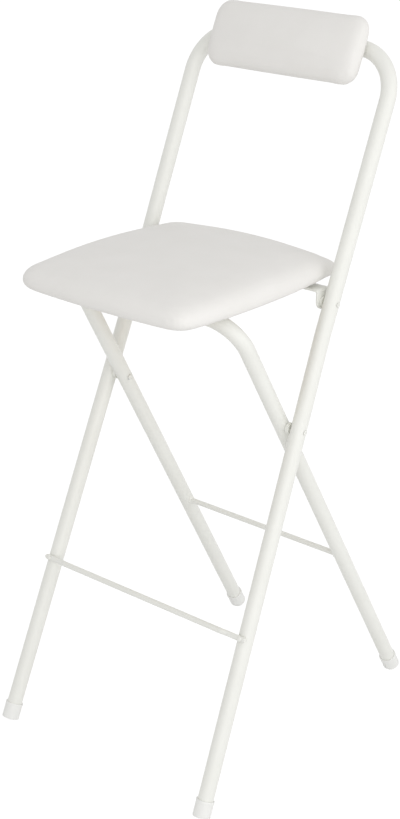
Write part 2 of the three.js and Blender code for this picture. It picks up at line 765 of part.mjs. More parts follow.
function addSaddles() {
  const outline = saddleOutline();
  for (const [name, side] of sideNames) {
    const standing = new THREE.Matrix4().makeBasis(
      new THREE.Vector3(0, 1, 0),
      new THREE.Vector3(0, 0, 1),
      new THREE.Vector3(1, 0, 0),
    ).setPosition(side * saddleOffset - saddleWidth / 2, 0, 0);
    let saddle = extruded(outline, saddleWidth).transform(standing.toArray());
    for (const [, y] of saddleScrewPlaces()) {
      const depth = 2 * (2 * saddleRoof) + overrun;
      const drill = screwHole(screwRadius + contactGap, depth, side * saddleOffset, y, saddleCrown);
      saddle = saddle.subtract(drill);
    }
    addMesh(seatGroup, `crossbar_saddle_${name}`, "nylon", saddle);
    for (const [place, y] of saddleScrewPlaces()) {
      const length = saddleRoof * 2 + contactGap * 2 + seatScrewLength - overrun;
      const screw = headedPin(screwRadius, screwHeadRadius, screwHeadHeight, length, false);
      const placed = screw.translate([side * saddleOffset, y, saddleCrown - saddleRoof - contactGap]);
      addMesh(seatGroup, `saddle_screw_${name}_${place}`, "zinc", placed);
    }
  }
}

// Backrest: board and cushion on the front of the crossbar, screwed on from behind

function addBackrest() {
  const boardBack = -(tubeRadius + contactGap);
  const middle = mainLength - backrestDrop;
  const bulges = { side: backrestBulge, front: backrestBulge, back: backrestBulge };
  const forward = (y) => new THREE.Matrix4().makeBasis(
    new THREE.Vector3(1, 0, 0),
    new THREE.Vector3(0, 0, 1),
    new THREE.Vector3(0, -1, 0),
  ).setPosition(0, y, middle).toArray();
  const outline = (grow) => {
    const inset = backrestBoardInset - grow;
    const radius = backrestCornerRadius - backrestBoardInset / 2;
    return padOutline(backrestHalfWidth - inset, backrestHalfHeight - inset, radius, bulges);
  };
  let board = extruded(outline(0), backrestBoardThickness).transform(forward(boardBack));
  const screwLength = tubeRadius * 2 + 2 * contactGap + backrestScrewBite;
  const head = tubeRadius + contactGap;
  for (const [name, side] of sideNames) {
    const x = side * backrestScrewOffset;
    const bite = 2 * (backrestScrewBite + contactGap);
    const drill = cylinder(screwRadius + contactGap, bite, turnedSides);
    board = board.subtract(aimed(drill, alongY, x, boardBack, mainLength));
    const screw = headedPin(screwRadius, screwHeadRadius, screwHeadHeight, screwLength, false);
    const placed = aimed(screw, new THREE.Vector3(0, -1, 0), x, head, mainLength);
    addMesh(mainPlane, `backrest_screw_${name}`, "zinc", placed);
  }
  addMesh(mainPlane, "backrest_board", "board", board);

  const pad = cushion(
    backrestHalfWidth, backrestHalfHeight, backrestCornerRadius, bulges,
    backrestThickness, backrestCrown,
  ).transform(forward(boardBack - backrestBoardReveal));
  const recess = extruded(outline(contactGap), backrestBoardThickness + contactGap);
  addMesh(mainPlane, "backrest_cushion", "vinyl", pad.subtract(recess.transform(forward(boardBack))));
}

addMainFrame();
addFootrest();
addFeet(mainPlane, "front", footEnd(mainLean), mainHalfWidth(footEnd(mainLean)), splay);
addPivots();
addHinges();
addBackrest();
addRearFrame();
addFeet(rearPlane, "rear", footEnd(rearLean), rearHalfWidth(footEnd(rearLean)), rearTaper);
addSeatBoardAndCushion();
addBrackets();
addSaddles();

// The origin lies on the floor under the middle of the whole stool
const bounds = new THREE.Box3().setFromObject(stool);
stool.position.y = -(bounds.min.y + bounds.max.y) / 2;

export default stool;
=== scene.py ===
"""Looks of the folding bar stool: painted steel tubes, two vinyl pads, plastic caps and fittings."""

import json
import math

import bpy
from mathutils import Matrix, Vector


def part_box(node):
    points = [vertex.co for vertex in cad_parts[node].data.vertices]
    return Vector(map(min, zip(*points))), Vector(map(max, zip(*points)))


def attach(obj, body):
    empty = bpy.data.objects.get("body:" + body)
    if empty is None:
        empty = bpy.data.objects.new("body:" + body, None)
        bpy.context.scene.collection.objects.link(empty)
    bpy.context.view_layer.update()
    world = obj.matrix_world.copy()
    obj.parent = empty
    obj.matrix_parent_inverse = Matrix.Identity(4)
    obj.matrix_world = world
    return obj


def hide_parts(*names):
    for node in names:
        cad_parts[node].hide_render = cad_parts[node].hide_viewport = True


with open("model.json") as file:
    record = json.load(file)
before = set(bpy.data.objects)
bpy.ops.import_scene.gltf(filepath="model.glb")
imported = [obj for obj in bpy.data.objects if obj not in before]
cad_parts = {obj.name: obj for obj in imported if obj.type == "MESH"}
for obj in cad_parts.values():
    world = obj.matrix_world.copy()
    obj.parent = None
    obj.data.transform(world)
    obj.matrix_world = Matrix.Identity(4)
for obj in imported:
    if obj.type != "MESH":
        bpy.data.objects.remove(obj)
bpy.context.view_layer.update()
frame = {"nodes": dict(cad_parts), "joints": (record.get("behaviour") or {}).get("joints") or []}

MM = 0.001
QUARTER_TURN = math.pi / 2
SIDES = (("left", -1), ("right", 1))

# Camera, fitted to the photograph
PICTURE_HEIGHT = 819  # pixels, the long side
SENSOR = 36  # millimetres, as the camera takes it
LENS = 72.82
CAMERA_PLACE = Vector((1.3987, -1.6575, 1.3605))
CAMERA_TILT = math.radians(67.669)
CAMERA_TURN = math.radians(40.691)
CENTRE_SHIFT = 0.5 / PICTURE_HEIGHT  # half a pixel, because the fit counts from the pixels' centres

# Frames, as the CAD part has them
TUBE_RADIUS = 11 * MM
MAIN_LEAN = math.radians(23.6)
MAIN_LENGTH = 1055 * MM
MAIN_BEND = 64 * MM
UPRIGHT_HALF_WIDTH = 169.5 * MM
KNEE_HEIGHT = 670 * MM
KNEE_BEND = 260 * MM
SPLAY = math.radians(1.5)
REAR_LEAN = math.radians(29.6)
REAR_BEND = 48 * MM
REAR_TAPER = math.radians(1.1)
SPACER = 5.6 * MM
CONTACT = 0.3 * MM  # the gap that touching pieces keep

# Rods
ROD_RADIUS = 4 * MM
BRACE_HEIGHT = 283 * MM
FOOTREST_HEIGHT = 253 * MM
# Each step of a weld: length, and widening over the step before. The last step is inside the leg
WELD_STEPS = ((1.2 * MM, 1.0), (1.0 * MM, 1.22), (0.9 * MM, 1.3), (3.4 * MM, 1.06))

# Flattened ends of the footrest
PLATE_HALF_HEIGHT = 4 * MM
PLATE_HALF_THICKNESS = 2.4 * MM
PLATE_LENGTH = 30 * MM
PLATE_OVERHANG = 8.5 * MM
PLATE_TRANSITION = 12 * MM
# Shares of the way along the transition, and of the flattening that is reached there
PLATE_SHARES = ((0.2, 0.06), (0.5, 0.5), (0.8, 0.94), (1.0, 1.0))
TIP_TURNS = (0, 25, 45, 62, 78)  # degrees round the tip's end

# Caps
CAP_HEIGHT = 24 * MM
CAP_RADIUS = 12.9 * MM
CAP_FLOOR = 3 * MM  # under the tube's end
CAP_FLAT = 1.6 * MM  # height worn off the lower edge
CAP_EDGE = 0.9 * MM
CAP_COLLAR = 4 * MM
CAP_COLLAR_STEP = 0.35 * MM
CAP_LIP = 0.5 * MM  # depth of the joint between collar and tube

# Eased edges of pressed, moulded and sawn pieces
BRACKET_EDGE = 0.5 * MM
SADDLE_EDGE = 0.5 * MM
BOARD_EDGE = 0.6 * MM
WRAPPED_EDGE = 1 * MM

# Rivets of pivots and hinges
RIVET_HEAD = 2.4 * MM  # height of the CAD's heads
HEAD_SHARES = (0.5, 0.64)  # of the height and the radius of the CAD's heads
HEAD_HOLLOW = 1.3 * MM
PIN_RADIUS = 3.2 * MM

# Hem of the seat's cover
HEM_RISE = 9.8 * MM  # up the board's side, into the cushion
HEM_WIDTH = 22 * MM
HEM_THICKNESS = 0.25 * MM  # pressed thin, so that it passes under brackets and crossbar
HEM_FOLD = 0.6 * MM
INNER_WALLS = (112 * MM, 122 * MM)  # walls of holes and pockets lie nearer to the board's middle than this

# Staples, and the board's outline that they follow
STAPLE = (10 * MM, 1.1 * MM, 1.4 * MM)  # along, across and high
STAPLE_EDGE = 0.3 * MM
STAPLE_STANDS = 0.4 * MM  # proud of the hem
STAPLE_INSET = 12 * MM
STAPLE_SPACING = 26 * MM
STAPLES_EACH_WAY = 4
BRACKET_CLEAR = 20 * MM  # staples keep this far from the seat's hinges, where the brackets are
CORNER_HALF_WIDTH = 124 * MM
SIDE_BULGE = 12 * MM  # from the corners to the middle of a side
FRONT_BULGE = 7 * MM

# Pads
CLOTH_CELL = 4 * MM
CLOTH_FRAMES = 20
CLOTH = {
    "quality": 6, "mass": 0.3, "tension_stiffness": 18, "compression_stiffness": 18, "shear_stiffness": 6,
    "bending_stiffness": 0.8, "use_pressure": True, "uniform_pressure_force": 4,
}
CELLS_SOFTENED = (0.5, 6)  # strength and number of the smoothing steps after remeshing
MOVES_EVENED = (0.9, 30)  # the same for what the cloth moved
STAPLED_EDGE = 3 * MM  # up to this distance from its lowest or hindmost point, a cover keeps still
ABOVE_BOARD = 2 * MM  # up to this height over its board, the seat pad's underside keeps still
BACK_RECESS = 10 * MM  # up to this depth from its hindmost point, the backrest pad's back keeps still

# Floor, sky and lamps
WHITE = (1, 1, 1, 1)
FLOOR_SIZE = 60  # metres
FLOOR_COLOUR = "#e6e6e6"  # as the stool and the lamps meet it
FLOOR_SHADED = (0.22, 0.22, 0.22, 1)  # the part of the floor's look that is lit, and so shows the shadow
FLOOR_GLOW = 0.9
SKY_LIGHT = 0.72
SKY_SEEN = 1  # white
# Large soft lamps round the point that they light: degrees round from the front, degrees up, watts
LAMPS = {"front": (40, 15, 20), "right": (75, 15, 13), "behind_right": (110, 20, 12)}
LAMP_DISTANCE = 3.2
LAMP_SIZE = 3.0
LIT_POINT = Vector((0, 0, 0.55))

# Meshes
TUBE_SIDES = 40
ROD_SIDES = 24
CAP_SIDES = 48
BEND_STEP = math.radians(4.5)
FEWEST_BEND_STEPS = 2
EDGE_STEPS = 2
CAP_EDGE_STEPS = 3
MERGE = 0.01 * MM
NEAR = 0.1 * MM  # a point this near to a plane or an axis lies on it
SQUARE_ON = 0.9  # a normal has more than this along the axis that its face is square to
FACING = 0.5  # and more than this along an axis that its face is turned to
FLAT_ANGLE = math.radians(1)
SMOOTH_ANGLE = math.radians(40)  # edges that turn less than this are shaded smooth
CUT_EDGE_ANGLE = math.radians(35)  # on pressed and cut pieces, edges that turn more than this are eased
CAP_EDGE_ANGLE = math.radians(50)
HEM_FOLD_ANGLE = math.radians(60)

# Sockets of a Mix node for colours, by number, because several of its sockets share a name
MIX_SHARE, MIX_A, MIX_B, MIX_COLOUR = 0, 6, 7, 2


# Finishes

def to_linear(hex_colour):
    """An sRGB hex colour as the linear values that shaders take."""
    channels = [int(hex_colour[i:i + 2], 16) / 255 for i in (1, 3, 5)]
    linear = [c / 12.92 if c <= 0.04045 else ((c + 0.055) / 1.055) ** 2.4 for c in channels]
    return (*linear, 1)


def add_node(owner, kind, inputs=None, **settings):
    """Adds a shader node to a material or world, with its settings, and its inputs as values or links."""
    node = owner.node_tree.nodes.new(kind)
    for name, value in settings.items():
        setattr(node, name, value)
    for name, value in (inputs or {}).items():
        if isinstance(value, bpy.types.NodeSocket):
            owner.node_tree.links.new(value, node.inputs[name])
        else:
            node.inputs[name].default_value = value
    return node


def new_material(name):
    material = bpy.data.materials.new(name)
    material.use_nodes = True
    material.node_tree.nodes.clear()
    return material


def powder_coated_steel():
    """Gloss powder coat on tube: a warm white, faint orange peel, slightly uneven sheen."""
    patch_size = 60 * MM
    peel_size = 2.2 * MM
    material = new_material("powder_coated_steel")
    place = add_node(material, "ShaderNodeTexCoord").outputs["Object"]
    patches = add_node(material, "ShaderNodeTexNoise", {
        "Vector": place, "Scale": 1 / patch_size, "Detail": 2.0,
    })
    colour = add_node(material, "ShaderNodeMix", {
        MIX_SHARE: patches.outputs[0], MIX_A: to_linear("#efefea"), MIX_B: to_linear("#eaeae4"),
    }, data_type="RGBA")
    peel = add_node(material, "ShaderNodeTexNoise", {
        "Vector": place, "Scale": 1 / peel_size, "Detail": 1.0,
    })
    bump = add_node(material, "ShaderNodeBump", {
        "Height": peel.outputs[0], "Strength": 0.12, "Distance": 0.05 * MM,
    })
    sheen = add_node(material, "ShaderNodeMapRange", {
        "Value": patches.outputs[0], "From Min": 0.3, "From Max": 0.7, "To Min": 0.3, "To Max": 0.4,
    })
    shader = add_node(material, "ShaderNodeBsdfPrincipled", {
        "Base Color": colour.outputs[MIX_COLOUR], "Roughness": sheen.outputs[0], "IOR": 1.5,
        "Normal": bump.outputs[0],
    })
    add_node(material, "ShaderNodeOutputMaterial", {"Surface": shader.outputs[0]})
    return material


def moulded_polythene():
    """Moulded polythene caps: a softer, plainer white than the paint, satin, lit a little in its depth."""
    cloud_size = 9 * MM
    grain_size = 0.8 * MM
    material = new_material("moulded_polythene")
    place = add_node(material, "ShaderNodeTexCoord").outputs["Object"]
    cloud = add_node(material, "ShaderNodeTexNoise", {
        "Vector": place, "Scale": 1 / cloud_size, "Detail": 3.0,
    })
    colour = add_node(material, "ShaderNodeMix", {
        MIX_SHARE: cloud.outputs[0], MIX_A: to_linear("#f2f2ef"), MIX_B: to_linear("#ecece9"),
    }, data_type="RGBA")
    grain = add_node(material, "ShaderNodeTexNoise", {
        "Vector": place, "Scale": 1 / grain_size, "Detail": 2.0,
    })
    bump = add_node(material, "ShaderNodeBump", {
        "Height": grain.outputs[0], "Strength": 0.15, "Distance": 0.04 * MM,
    })
    shader = add_node(material, "ShaderNodeBsdfPrincipled", {
        "Base Color": colour.outputs[MIX_COLOUR], "Roughness": 0.45, "IOR": 1.51,
        "Subsurface Weight": 0.05, "Subsurface Scale": 1 * MM, "Subsurface Radius": (1, 1, 1),
        "Normal": bump.outputs[0],
    })
    add_node(material, "ShaderNodeOutputMaterial", {"Surface": shader.outputs[0]})
    return material


def moulded_nylon():
    """Natural nylon of spacers, washers and saddles: milky, a shade greyer than the paint, smooth."""
    cloud_size = 6 * MM
    material = new_material("moulded_nylon")
    place = add_node(material, "ShaderNodeTexCoord").outputs["Object"]
    cloud = add_node(material, "ShaderNodeTexNoise", {
        "Vector": place, "Scale": 1 / cloud_size, "Detail": 2.0,
    })
    colour = add_node(material, "ShaderNodeMix", {
        MIX_SHARE: cloud.outputs[0], MIX_A: to_linear("#eeeee8"), MIX_B: to_linear("#e8e8e0"),
    }, data_type="RGBA")
    shader = add_node(material, "ShaderNodeBsdfPrincipled", {
        "Base Color": colour.outputs[MIX_COLOUR], "Roughness": 0.38, "IOR": 1.53,
    })
    add_node(material, "ShaderNodeOutputMaterial", {"Surface": shader.outputs[0]})
    return material


def pvc_leathercloth():
    """PVC leathercloth stretched over foam: calendered grain, soft satin sheen, faintly mottled."""
    mottle_size = 45 * MM
    grain_size = 1.3 * MM  # really about 0.7 mm, and drawn coarser so that it shows at all
    material = new_material("pvc_leathercloth")
    place = add_node(material, "ShaderNodeTexCoord").outputs["Object"]
    mottle = add_node(material, "ShaderNodeTexNoise", {
        "Vector": place, "Scale": 1 / mottle_size, "Detail": 3.0,
    })
    colour = add_node(material, "ShaderNodeMix", {
        MIX_SHARE: mottle.outputs[0], MIX_A: to_linear("#efedea"), MIX_B: to_linear("#eae8e4"),
    }, data_type="RGBA")
    grain = add_node(material, "ShaderNodeTexVoronoi", {
        "Vector": place, "Scale": 1 / grain_size,
    }, feature="SMOOTH_F1")
    bump = add_node(material, "ShaderNodeBump", {
        "Height": grain.outputs[0], "Strength": 0.25, "Distance": 0.08 * MM,
    })
    sheen = add_node(material, "ShaderNodeMapRange", {
        "Value": grain.outputs[0], "From Min": 0.0, "From Max": 0.8, "To Min": 0.5, "To Max": 0.6,
    })
    shader = add_node(material, "ShaderNodeBsdfPrincipled", {
        "Base Color": colour.outputs[MIX_COLOUR], "Roughness": sheen.outputs[0], "IOR": 1.52,
        "Normal": bump.outputs[0],
    })
    add_node(material, "ShaderNodeOutputMaterial", {"Surface": shader.outputs[0]})
    return material


def birch_plywood():
    """Birch plywood, sanded and not varnished: dry pale straw with long fine grain."""
    grain_size = 4 * MM
    grain_squeeze = (1.0, 0.06, 1.0)  # so that the grain runs long from front to back
    material = new_material("birch_plywood")
    place = add_node(material, "ShaderNodeTexCoord").outputs["Object"]
    stretched = add_node(material, "ShaderNodeMapping", {"Vector": place, "Scale": grain_squeeze})
    grain = add_node(material, "ShaderNodeTexNoise", {
        "Vector": stretched.outputs[0], "Scale": 1 / grain_size, "Detail": 5.0, "Roughness": 0.6,
    })
    colour = add_node(material, "ShaderNodeMix", {
        MIX_SHARE: grain.outputs[0], MIX_A: to_linear("#dcc193"), MIX_B: to_linear("#c6a372"),
    }, data_type="RGBA")
    bump = add_node(material, "ShaderNodeBump", {
        "Height": grain.outputs[0], "Strength": 0.2, "Distance": 0.1 * MM,
    })
    shader = add_node(material, "ShaderNodeBsdfPrincipled", {
        "Base Color": colour.outputs[MIX_COLOUR], "Roughness": 0.7, "IOR": 1.5, "Normal": bump.outputs[0],
    })
    add_node(material, "ShaderNodeOutputMaterial", {"Surface": shader.outputs[0]})
    return material


def zinc_plated_steel():
    """Bright zinc plate on screws and staples: a cool grey metal with small cloudy changes of sheen."""
    cloud_size = 1.5 * MM
    material = new_material("zinc_plated_steel")
    place = add_node(material, "ShaderNodeTexCoord").outputs["Object"]
    cloud = add_node(material, "ShaderNodeTexNoise", {
        "Vector": place, "Scale": 1 / cloud_size, "Detail": 3.0,
    })
    sheen = add_node(material, "ShaderNodeMapRange", {
        "Value": cloud.outputs[0], "To Min": 0.22, "To Max": 0.42,
    })
    shader = add_node(material, "ShaderNodeBsdfPrincipled", {
        "Base Color": to_linear("#c4c8cc"), "Metallic": 1.0, "Roughness": sheen.outputs[0],
    })
    add_node(material, "ShaderNodeOutputMaterial", {"Surface": shader.outputs[0]})
    return material


def dress_nodes(finishes):
    """Gives every CAD node the finish that goes with a word in its name."""
    for name, node in frame["nodes"].items():
        for word, material in finishes:
            if word in name:
                node.data.materials.clear()
                node.data.materials.append(material)
                break


# Steps that the pieces share

def new_object(name, data):
    thing = bpy.data.objects.new(name, data)
    bpy.context.scene.collection.objects.link(thing)
    return thing


def deselect_all():
    if bpy.context.mode != "OBJECT":
        bpy.ops.object.mode_set(mode="OBJECT")
    bpy.ops.object.select_all(action="DESELECT")


def make_active(piece):
    deselect_all()
    piece.select_set(True)
    bpy.context.view_layer.objects.active = piece


def edit_all(piece):
    """Opens a piece in edit mode with its whole mesh selected."""
    make_active(piece)
    bpy.ops.object.mode_set(mode="EDIT")
    bpy.ops.mesh.select_all(action="SELECT")


def select_faces(piece, wanted):
    """In edit mode, selects only the faces that wanted(centre, normal) says."""
    bpy.ops.mesh.select_mode(type="FACE")
    bpy.ops.mesh.select_all(action="DESELECT")
    bpy.ops.object.mode_set(mode="OBJECT")
    for face in piece.data.polygons:
        face.select = wanted(face.center, face.normal)
    bpy.ops.object.mode_set(mode="EDIT")


def select_points(piece, wanted):
    """In edit mode, selects only the points that wanted(place) says."""
    bpy.ops.mesh.select_mode(type="VERT")
    bpy.ops.mesh.select_all(action="DESELECT")
    bpy.ops.object.mode_set(mode="OBJECT")
    for vertex in piece.data.vertices:
        vertex.select = wanted(vertex.co)
    bpy.ops.object.mode_set(mode="EDIT")


def extrude(move):
    bpy.ops.mesh.extrude_region_move(TRANSFORM_OT_translate={"value": move})


def extrude_scaled(move, scale, centre):
    """Extrudes what is selected, and scales the new end about centre."""
    extrude(move)
    bpy.ops.transform.resize(value=scale, center_override=centre)


def round_edges(piece, width, angle, steps=EDGE_STEPS):
    """Rounds the edges that turn by more than angle."""
    rounding = piece.modifiers.new("rounding", "BEVEL")
    rounding.width = width
    rounding.segments = steps
    rounding.limit_method = "ANGLE"
    rounding.angle_limit = angle


def smooth_out(piece, factor, steps):
    smoothing = piece.modifiers.new("smoothing", "SMOOTH")
    smoothing.factor = factor
    smoothing.iterations = steps


def apply_modifiers(piece):
    make_active(piece)
    for modifier in list(piece.modifiers):
        bpy.ops.object.modifier_apply(modifier=modifier.name)


def just_added(name):
    """The primitive that was just added, named, and with its place in its mesh."""
    piece = bpy.context.active_object
    piece.name = name
    bpy.ops.object.transform_apply(location=True, rotation=True, scale=True)
    return piece


def face_out(piece):
    """Merges what touches and turns all faces outwards."""
    edit_all(piece)
    bpy.ops.mesh.remove_doubles(threshold=MERGE)
    bpy.ops.mesh.normals_make_consistent(inside=False)
    bpy.ops.object.mode_set(mode="OBJECT")


def cad_copy(name, node):
    """A new piece with a merged copy of a CAD node's mesh."""
    piece = new_object(name, frame["nodes"][node].data.copy())
    face_out(piece)
    return piece


def into_plane(piece, plane):
    """Moves a mesh from a frame's own plane to its place, with the object left at the origin."""
    make_active(piece)
    piece.data.transform(plane)
    piece.data.update()


def finished(piece, material, body):
    piece.data.materials.clear()
    piece.data.materials.append(material)
    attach(piece, body)


# The frames' own planes: X across, Z along the legs, Y to the back

def joint_place(name):
    return Vector(next(joint["pos_m"] for joint in frame["joints"] if joint["name"] == name))


SEAT_HINGE = joint_place("seat_fold")
PIVOT = joint_place("rear_frame_fold")
MAIN_START = SEAT_HINGE.y - SEAT_HINGE.z * math.tan(MAIN_LEAN)
REAR_START = PIVOT.y + PIVOT.z * math.tan(REAR_LEAN)
MAIN_PLANE = Matrix.Translation((0, MAIN_START, 0)) @ Matrix.Rotation(-MAIN_LEAN, 4, "X")
REAR_PLANE = Matrix.Translation((0, REAR_START, 0)) @ Matrix.Rotation(REAR_LEAN, 4, "X")
PIVOT_ALONG_MAIN = PIVOT.z / math.cos(MAIN_LEAN)
PIVOT_ALONG_REAR = PIVOT.z / math.cos(REAR_LEAN)


def main_half_width(height):
    return UPRIGHT_HALF_WIDTH + max(0, KNEE_HEIGHT - height) * math.tan(SPLAY)


def rear_half_width(height):
    at_pivot = main_half_width(PIVOT_ALONG_MAIN) - 2 * TUBE_RADIUS - SPACER - 2 * CONTACT
    return at_pivot + (PIVOT_ALONG_REAR - height) * math.tan(REAR_TAPER)


def cap_start(lean):
    """Where a cap's end lies along its leg, with its lower edge worn flat on the floor."""
    return (CAP_RADIUS * math.sin(lean) - CAP_FLAT) / math.cos(lean)


# Tubes

def bent_tube(name, corners, plane):
    """A bent tube: half of it is extruded and spun from its foot to its middle, and then mirrored.

    corners are (x, z, bend radius): the foot, each bend, and the middle of the crossbar."""
    points = [Vector((x, 0, z)) for x, z, _ in corners]
    heading = (points[1] - points[0]).normalized()
    deselect_all()
    bpy.ops.mesh.primitive_circle_add(
        vertices=TUBE_SIDES, radius=TUBE_RADIUS, location=points[0],
        rotation=(0, math.atan2(heading.x, heading.z), 0),
    )
    tube = just_added(name)
    edit_all(tube)
    here = points[0]
    for i in range(1, len(points) - 1):
        ahead = (points[i + 1] - points[i]).normalized()
        turn = heading.angle(ahead)
        sense = math.copysign(1, heading.cross(ahead).y)
        radius = corners[i][2]
        reach = radius * math.tan(turn / 2)
        stop = points[i] - heading * reach
        extrude(stop - here)
        centre = stop + Vector((0, 1, 0)).cross(heading) * sense * radius
        steps = max(FEWEST_BEND_STEPS, round(turn / BEND_STEP))
        bpy.ops.mesh.spin(steps=steps, angle=-sense * turn, center=centre, axis=(0, 1, 0))
        here = points[i] + ahead * reach
        heading = ahead
    extrude(points[-1] - here)
    bpy.ops.mesh.select_all(action="SELECT")
    bpy.ops.mesh.remove_doubles(threshold=MERGE)
    bpy.ops.object.mode_set(mode="OBJECT")
    mirror = tube.modifiers.new("other half", "MIRROR")
    mirror.use_axis[0] = True
    mirror.merge_threshold = NEAR
    apply_modifiers(tube)
    edit_all(tube)
    bpy.ops.mesh.fill_holes(sides=0)
    bpy.ops.mesh.select_all(action="SELECT")
    bpy.ops.mesh.normals_make_consistent(inside=False)
    into_plane(tube, plane)
    bpy.ops.object.shade_smooth_by_angle(angle=SMOOTH_ANGLE)
    return tube


def frame_tubes(paint):
    foot = cap_start(MAIN_LEAN) + CAP_FLOOR
    main = bent_tube("main_tube", [
        (main_half_width(foot), foot, 0),
        (UPRIGHT_HALF_WIDTH, KNEE_HEIGHT, KNEE_BEND),
        (UPRIGHT_HALF_WIDTH, MAIN_LENGTH, MAIN_BEND),
        (0, MAIN_LENGTH, 0),
    ], MAIN_PLANE)
    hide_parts("main_frame_tube")
    finished(main, paint, "main_frame")

    foot = cap_start(REAR_LEAN) + CAP_FLOOR
    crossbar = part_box("rear_frame_tube")[1].z - TUBE_RADIUS
    top = crossbar / math.cos(REAR_LEAN)
    rear = bent_tube("rear_tube", [
        (rear_half_width(foot), foot, 0),
        (rear_half_width(top), top, REAR_BEND),
        (0, top, 0),
    ], REAR_PLANE)
    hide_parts("rear_frame_tube")
    finished(rear, paint, "rear_frame")


# Rods

def rod_across(name, reach, y, height):
    """A closed rod along X, as long as reach on each side of the middle."""
    deselect_all()
    bpy.ops.mesh.primitive_cylinder_add(
        vertices=ROD_SIDES, radius=ROD_RADIUS, depth=2 * reach, location=(0, y, height),
        rotation=(0, QUARTER_TURN, 0),
    )
    return just_added(name)


def welded_brace(paint):
    """The rod between the rear legs, widened at both ends into the weld that holds it."""
    weld = sum(length for length, _ in WELD_STEPS[:-1])
    reach = rear_half_width(BRACE_HEIGHT) - TUBE_RADIUS - weld
    brace = rod_across("welded_brace", reach, 0, BRACE_HEIGHT)
    edit_all(brace)
    for side in (-1, 1):
        select_faces(brace, lambda centre, normal: normal.x * side > SQUARE_ON)
        end = side * reach
        for length, widening in WELD_STEPS:
            end += side * length
            extrude_scaled((side * length, 0, 0), (1, widening, widening), (end, 0, BRACE_HEIGHT))
    into_plane(brace, REAR_PLANE)
    bpy.ops.object.shade_smooth_by_angle(angle=SMOOTH_ANGLE)
    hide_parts("rear_brace")
    finished(brace, paint, "rear_frame")


def plate_sections(start, tip, rod_y, plate_y):
    """Sections of a flattened end: x, y, and thickness and height as shares of the round rod's."""
    thinned = PLATE_HALF_THICKNESS / ROD_RADIUS
    widened = PLATE_HALF_HEIGHT / ROD_RADIUS
    sections = []
    for along, share in PLATE_SHARES:
        x = start + PLATE_TRANSITION * along
        y = rod_y + (plate_y - rod_y) * share
        sections.append((x, y, 1 + (thinned - 1) * share, 1 + (widened - 1) * share))
    for turn in TIP_TURNS:
        angle = math.radians(turn)
        x = tip - PLATE_HALF_HEIGHT * (1 - math.sin(angle))
        sections.append((x, plate_y, thinned, widened * math.cos(angle)))
    return sections


def footrest(paint):
    """The rod across the front legs, its ends hammered flat and rounded."""
    tip = main_half_width(FOOTREST_HEIGHT) + PLATE_OVERHANG
    start = tip - PLATE_LENGTH - PLATE_TRANSITION
    rod_y = -(TUBE_RADIUS + CONTACT + ROD_RADIUS)
    plate_y = -(TUBE_RADIUS + CONTACT + PLATE_HALF_THICKNESS)
    bar = rod_across("footrest_rod", start, rod_y, FOOTREST_HEIGHT)
    edit_all(bar)
    for side in (-1, 1):
        select_faces(bar, lambda centre, normal: normal.x * side > SQUARE_ON)
        x, y, thickness, height = start, rod_y, 1, 1
        for new_x, new_y, new_thickness, new_height in plate_sections(start, tip, rod_y, plate_y):
            extrude_scaled(
                (side * (new_x - x), new_y - y, 0), (1, new_thickness / thickness, new_height / height),
                (side * new_x, new_y, FOOTREST_HEIGHT),
            )
            x, y, thickness, height = new_x, new_y, new_thickness, new_height
    into_plane(bar, MAIN_PLANE)
    bpy.ops.object.shade_smooth_by_angle(angle=SMOOTH_ANGLE)
    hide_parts("footrest_bar")
    finished(bar, paint, "main_frame")


# Caps

def moulded_cap(name, plane, lean, x, tilt, node, body, polythene):
    """A square-ended cap: a cup with a thicker collar, worn flat where it stands."""
    wall_radius = CAP_RADIUS - CAP_COLLAR_STEP
    collar_start = CAP_HEIGHT - CAP_COLLAR
    deselect_all()
    bpy.ops.mesh.primitive_cylinder_add(
        vertices=CAP_SIDES, radius=wall_radius, depth=collar_start, location=(0, 0, collar_start / 2),
    )
    cap = just_added(name)
    edit_all(cap)
    select_faces(cap, lambda centre, normal: normal.z > SQUARE_ON)
    grown = CAP_RADIUS / wall_radius
    extrude_scaled((0, 0, CAP_COLLAR_STEP), (grown, grown, 1), (0, 0, collar_start))
    extrude((0, 0, CAP_COLLAR - CAP_COLLAR_STEP))
    bpy.ops.mesh.inset(thickness=CAP_RADIUS - TUBE_RADIUS - CONTACT / 2, depth=0)
    extrude((0, 0, -CAP_LIP))
    round_edges(cap, CAP_EDGE, CAP_EDGE_ANGLE, CAP_EDGE_STEPS)
    apply_modifiers(cap)
    turned = Matrix.Translation((x, 0, cap_start(lean))) @ Matrix.Rotation(tilt, 4, "Y")
    into_plane(cap, plane @ turned)
    edit_all(cap)
    bpy.ops.mesh.bisect(plane_co=(0, 0, 0), plane_no=(0, 0, 1), clear_inner=True, use_fill=True)
    face_out(cap)
    bpy.ops.object.shade_smooth_by_angle(angle=SMOOTH_ANGLE)
    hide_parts(node)
    finished(cap, polythene, body)


def moulded_caps(polythene):
    for side_name, side in SIDES:
        x = side * main_half_width(cap_start(MAIN_LEAN))
        moulded_cap(f"front_cap_{side_name}", MAIN_PLANE, MAIN_LEAN, x, -side * SPLAY,
                    f"front_foot_{side_name}", "main_frame", polythene)
        x = side * rear_half_width(cap_start(REAR_LEAN))
        moulded_cap(f"rear_cap_{side_name}", REAR_PLANE, REAR_LEAN, x, -side * REAR_TAPER,
                    f"rear_foot_{side_name}", "rear_frame", polythene)


# Pieces with the slightly rounded edges that a press, a mould or a saw leaves

